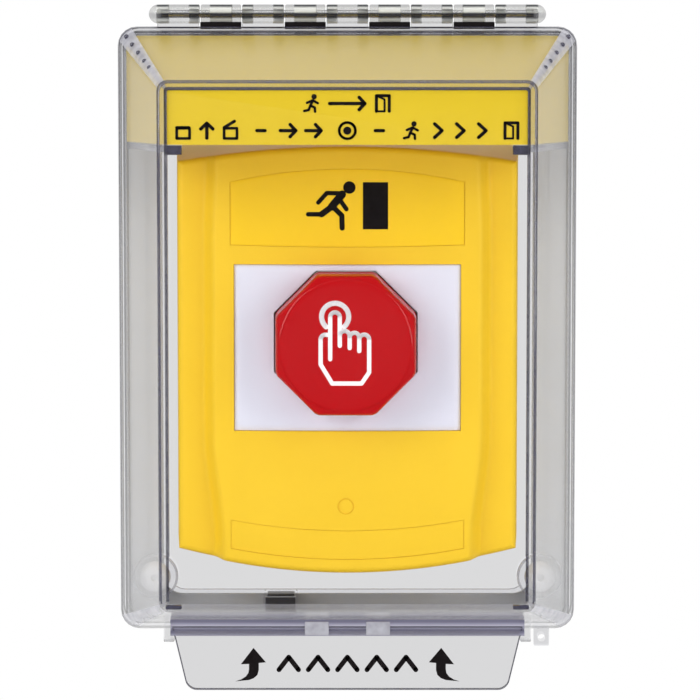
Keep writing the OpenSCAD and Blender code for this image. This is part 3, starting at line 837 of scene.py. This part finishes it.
cover_clear = clear_moulding("clear_cover", (0.975, 0.975, 0.980), rough=0.22)
box = loft(cover_sections(WALL, (COVER_BACK + 0.3, FLANGE))[::-1]
           + [rounded_face(RIM_W - 2.8, RIM_H - 2.8, RIM_CORNER - 1.4, COVER_BACK),
              rounded_face(RIM_W - 0.8, RIM_H - 0.8, RIM_CORNER - 0.4, COVER_BACK + 0.05)]
           + cover_sections(0, (COVER_BACK + 0.45, FLANGE)))
joined = []
for x in COVER_KNUCKLES:
    outer = abs(x) > 50
    joined.append(rod(KNUCKLE_R, 13.1, (x, -HINGE_DEPTH, HINGE_Z), round_off=0.4))
    if outer:
        end = bmesh.new()
        bmesh.ops.create_uvsphere(end, u_segments=32, v_segments=20, radius=KNUCKLE_R - 0.02)
        bmesh.ops.translate(end, verts=end.verts, vec=(math.copysign(59.5, x), -HINGE_DEPTH, HINGE_Z))
        joined.append(end)
    joined.append(bar((x - 6.5, -13.4, 96.9), (x + 6.5, -HINGE_DEPTH, 100.9), 0.35))
    joined.append(bar((x - 6.5, -13.4, 93.3), (x + 6.5, -10.8, 99.3), 0.35))
box = carve(box, joined, "UNION")
box = carve(box, [rod(PIN_R + PIN_FIT, 117, (0, -HINGE_DEPTH, HINGE_Z), "X", 24)])
box = piece("cover_box", box, cover_clear, "cover", ["cover"], crease=50)
# Painted shade: the cover's front edges and rim line take the dark painted-edge finish, and its tapered
# corners the pale grey one.
mark(box, painted_dark_edge, lambda c, n: (
    -c.y > 66.75 and 0.12 < abs(n.y) < (0.999 if c.z > -77 else 0.45)
    or -c.y < FLANGE + RIM_LINE and abs(n.y) < 0.9 and abs(c.z) < 95.4))
mark(box, painted_pale_edge, lambda c, n: 14 < -c.y < 66 and abs(n.x) > 0.2 and abs(n.z) > 0.2)
# Painted shade and highlight bands on the cover's knuckles.
mark(box, painted_banded, lambda c, n: c.z > 96.2 and -c.y < 11.5)

HOOD_GAP, HOOD_SHEET, HOOD_BOTTOM, HOOD_BACK = WALL + 0.25, 0.8, 59.4, 14.0
REFLECTION_DOT_DEPTHS, REFLECTION_DOT_INSET, REFLECTION_DOT_FALL, REFLECTION_DOT_R = (18, 27, 36, 45, 52), 1.5, 16.8, 0.75
for name, side in (("left", -1), ("right", 1)):
    # The rails, stops and feet wear painted-edge finishes: painted shade for the dark their edges bend into
    # view.
    rail = bar((-0.5, -64.5, HOOD_BOTTOM - 2.3), (0.5, -12.5, HOOD_BOTTOM - 0.15), 0.25)
    for v in rail.verts:
        v.co.x = side * (wall_x(-v.co.y, WALL + 0.35) - 0.5 + v.co.x)
    piece("hood_rail_" + name, rail, painted_soft_edge, "cover")
    stop = bar((-2.6, -67.6, HOOD_BOTTOM - 3.0), (2.6, -64.9, HOOD_BOTTOM - 0.15), 0.3)
    bmesh.ops.translate(stop, verts=stop.verts, vec=(side * 51.6, 0, 0))
    piece("hood_stop_" + name, stop, painted_dark_edge, "cover")
    foot = bar((-2.4, -69.2, -79.2), (2.4, -67.4, -77.9), 0.3)
    bmesh.ops.translate(foot, verts=foot.verts, vec=(side * 51.9, 0, 0))
    piece("front_foot_" + name, foot, painted_dark_edge, "cover")
    # Painted reflection: rows of small dark beads along the cover's upper corners stand in for the sparkling
    # dots that the rounded corners bend into view.
    reflection_dots = bmesh.new()
    for depth in REFLECTION_DOT_DEPTHS:
        t = (depth - FLANGE) / (COVER_FRONT - FLANGE)
        place = (side * (wall_x(depth) - REFLECTION_DOT_INSET), -depth, RIM_H / 2 - REFLECTION_DOT_INSET - t * REFLECTION_DOT_FALL)
        bmesh.ops.create_uvsphere(reflection_dots, u_segments=12, v_segments=8, radius=REFLECTION_DOT_R,
                                  matrix=Matrix.Translation(place))
    piece("corner_pips_" + name, reflection_dots, painted_dark_edge, "cover")


# ---------- Hood: a folded yellow sheet behind the top of the cover, printed on its front ----------
# Front, top and two cheeks in one sheet of smooth plastic. Two rows of pictograms in black: a
# figure on its way to a door, then a lid that lifts, a ring to press and the way to the door.


def hood_yellow():
    f = Finish("hood_yellow")
    drift = f.noise(22)
    return f.done(f.shell(Base_Color=f.colours(drift, (0.690, 0.485, 0.005), (0.725, 0.515, 0.010)),
                          Roughness=0.34 + drift * 0.06, Normal=f.bump(f.noise(1100), 0.000006)))


hood = loft(cover_sections(HOOD_GAP, (COVER_BACK, FLANGE)), cap_first=False)
for point, normal in (((0, 0, HOOD_BOTTOM), (0, 0, -1)), ((0, -HOOD_BACK, 0), (0, 1, 0))):
    bmesh.ops.bisect_plane(hood, geom=hood.verts[:] + hood.edges[:] + hood.faces[:], plane_co=point,
                           plane_no=normal, clear_outer=True)
bmesh.ops.recalc_face_normals(hood, faces=hood.faces)
bmesh.ops.solidify(hood, geom=hood.faces[:], thickness=HOOD_SHEET)
piece("label_hood_sheet", hood, hood_yellow(), "cover", ["label_hood"])

HOOD_FACE = COVER_FRONT - HOOD_GAP
signs = bmesh.new()


def sign_stroke(x, z, points, width=0.9):
    stroke(signs, [(x + px, z + pz) for px, pz in points], width)


def sign_door(x, z):
    sign_stroke(x, z, [(-1.9, -2.3), (-1.9, 2.3), (1.9, 2.3), (1.9, -2.3)])
    sign_stroke(x, z, [(-1.9, 2.3), (0.5, 1.2), (0.5, -2.3), (-1.9, -2.3)], 0.6)


def sign_arrow(x, z, turn=0.0, reach=2.4):
    way = Matrix.Rotation(turn, 2)
    for line in ([(-reach, 0), (reach, 0)], [(reach - 1.7, -1.8), (reach, 0), (reach - 1.7, 1.8)]):
        sign_stroke(x, z, [tuple(way @ Vector(point)) for point in line], 1.0)


def sign_figure(x, z):
    disc(signs, x + 0.7, z + 2, 0.8, 20)
    for line in ([(0.4, 0.9), (-0.4, -0.6)], [(-1.4, 0.2), (0.3, 0.9), (1.8, 0.1)],
                 [(-0.4, -0.6), (0.9, -1.2), (1.0, -2.4)], [(-0.4, -0.6), (-0.9, -1.9), (-2.2, -2.2)]):
        sign_stroke(x, z, line, 0.75)


def sign_lid(x, z, lift):
    sign_stroke(x, z, [(-1.9, 0.7), (-1.9, -2.3), (1.9, -2.3), (1.9, 0.7), (-1.9, 0.7)], 0.8)
    sign_stroke(x, z, [(-1.9, 0.9), (-1.9 + 3.6 * math.cos(lift), 0.9 + 3.6 * math.sin(lift))], 0.9)


upper_row, row = 71.6, 63.6
for x, draw in ((-10.5, sign_figure), (10.5, sign_door)):
    draw(x, upper_row)
sign_arrow(0, upper_row, reach=5.2)
for x, lift in ((-48.5, 0.0), (-34.5, 0.55)):
    sign_lid(x, row, lift)
sign_arrow(-41.5, row, math.pi / 2, 2.2)
for x in (-25.5, 9.5):
    sign_stroke(x, row, [(-1.2, 0), (1.2, 0)], 1.0)
for x in (-17.5, -10.0):
    sign_arrow(x, row, 0, 2.3)
sign_stroke(0, row, arc(0, 0, 2.4, 0, 360, 24), 0.8)
disc(signs, 0, row, 1.2, 24)
sign_figure(19.0, row)
for x in (27.0, 33.5, 40.0):
    sign_stroke(x, row, [(-1.2, -2.0), (1.0, 0), (-1.2, 2.0)], 1.0)
sign_door(48.5, row)
print_piece("hood_signs_print", signs, ink, "cover", lambda x, z: HOOD_FACE, 0.14)


# ---------- Lift handle: a clear plate under the cover's front, on a ribbed root ----------
# Moulded with the cover's material, with curved arrows printed in black that say which way to lift.

HANDLE_BACK, HANDLE_FRONT = 43.5, 46.0


def ribbed_clear_painted_shade():
    # Painted shade and highlight: the clear ribbed root is coloured dark lavender with lighter stripes
    # across it, in place of the light that its ribs bend.
    f = Finish("ribbed_clear_painted_shade")
    height = f.node("SeparateXYZ", output=2, i0=f.node("TexCoord", output=3))
    painted_bands = (maths("SINE", height * 1900.0) * 0.5 + 0.5).clamp()
    return f.done(f.shell(Base_Color=f.colours(painted_bands, (0.160, 0.155, 0.235), (0.45, 0.44, 0.54)),
                          Roughness=0.12, IOR=POLYCARBONATE, Coat_Weight=0.4, Alpha=0.86))


handle_clear = clear_moulding("clear_handle", (0.965, 0.965, 0.970))
plate = bmesh.new()
top_corners = [plate.verts.new((x, -88.6, 0)) for x in (-53.8, 53.8)]
low_corners = [plate.verts.new((x, -108.3, 0)) for x in (49.1, -49.1)]
plate.faces.new(top_corners + low_corners)
bmesh.ops.bevel(plate, geom=low_corners, offset=2.8, affect="VERTICES", segments=8, profile=0.5,
                material=-1)
extruded(plate, plate.faces[:], (0, 0, HANDLE_FRONT - HANDLE_BACK))
bmesh.ops.recalc_face_normals(plate, faces=plate.faces)
round_edges(plate, 0.45, 60)
to_front(plate, HANDLE_BACK)
plate = piece("lift_handle_plate", plate, handle_clear, "cover", ["lift_handle"])
# Painted shade: the plate's edges take the dark painted-edge finish.
mark(plate, painted_dark_edge, lambda c, n: abs(n.y) < 0.9)

root = bmesh.new()
end = [root.verts.new((-54.3, -depth, z)) for depth, z in (
    (36.5, -91.5), (45.6, -91.5), (46.0, -91.0), (46.0, -89.9), (45.4, -89.6), (45.4, -88.7), (46.0, -88.4),
    (46.0, -86.9), (45.7, -86.35), (36.5, -88.9))]
root.faces.new(end)
extruded(root, root.faces[:], (108.6, 0, 0))
piece("lift_handle_root", root, ribbed_clear_painted_shade(), "cover")
# The lugs take the pale grey painted-edge finish, painted shade.
for side, x in (("left", -9.4), ("right", 9.4)):
    piece("root_lug_" + side, bar((x - 3.7, -46.4, -91.2), (x + 3.7, -44, -87.0), 0.3),
          painted_pale_edge, "cover")
for side, x in (("left", -54.7), ("right", 54.7)):
    piece("root_clip_" + side, bar((x - 1.7, -46.2, -93.3), (x + 1.7, -38, -86.6), 0.4),
          handle_clear, "cover")

arrows = bmesh.new()
ARROW = [(28.8, -95.1), (25.0, -99.6), (27.2, -99.8), (27.2, -102.0), (27.6, -103.5), (28.7, -104.5),
         (30.2, -105.1), (34.4, -105.5), (32.6, -104.9), (31.2, -104.0), (30.4, -102.9), (30.2, -101.7),
         (30.2, -100.1), (32.7, -100.2)]
for side in (-1, 1):
    arrows.faces.new([arrows.verts.new((side * x, z, 0)) for x, z in ARROW[::side]])
for x in (-18, -9, 0, 9, 18):
    stroke(arrows, [(x - 3.0, -101.9), (x, -98.0), (x + 3.0, -101.9)], 1.5)
print_piece("handle_arrows_print", arrows, ink, "cover", lambda x, z: HANDLE_FRONT, 0.14)
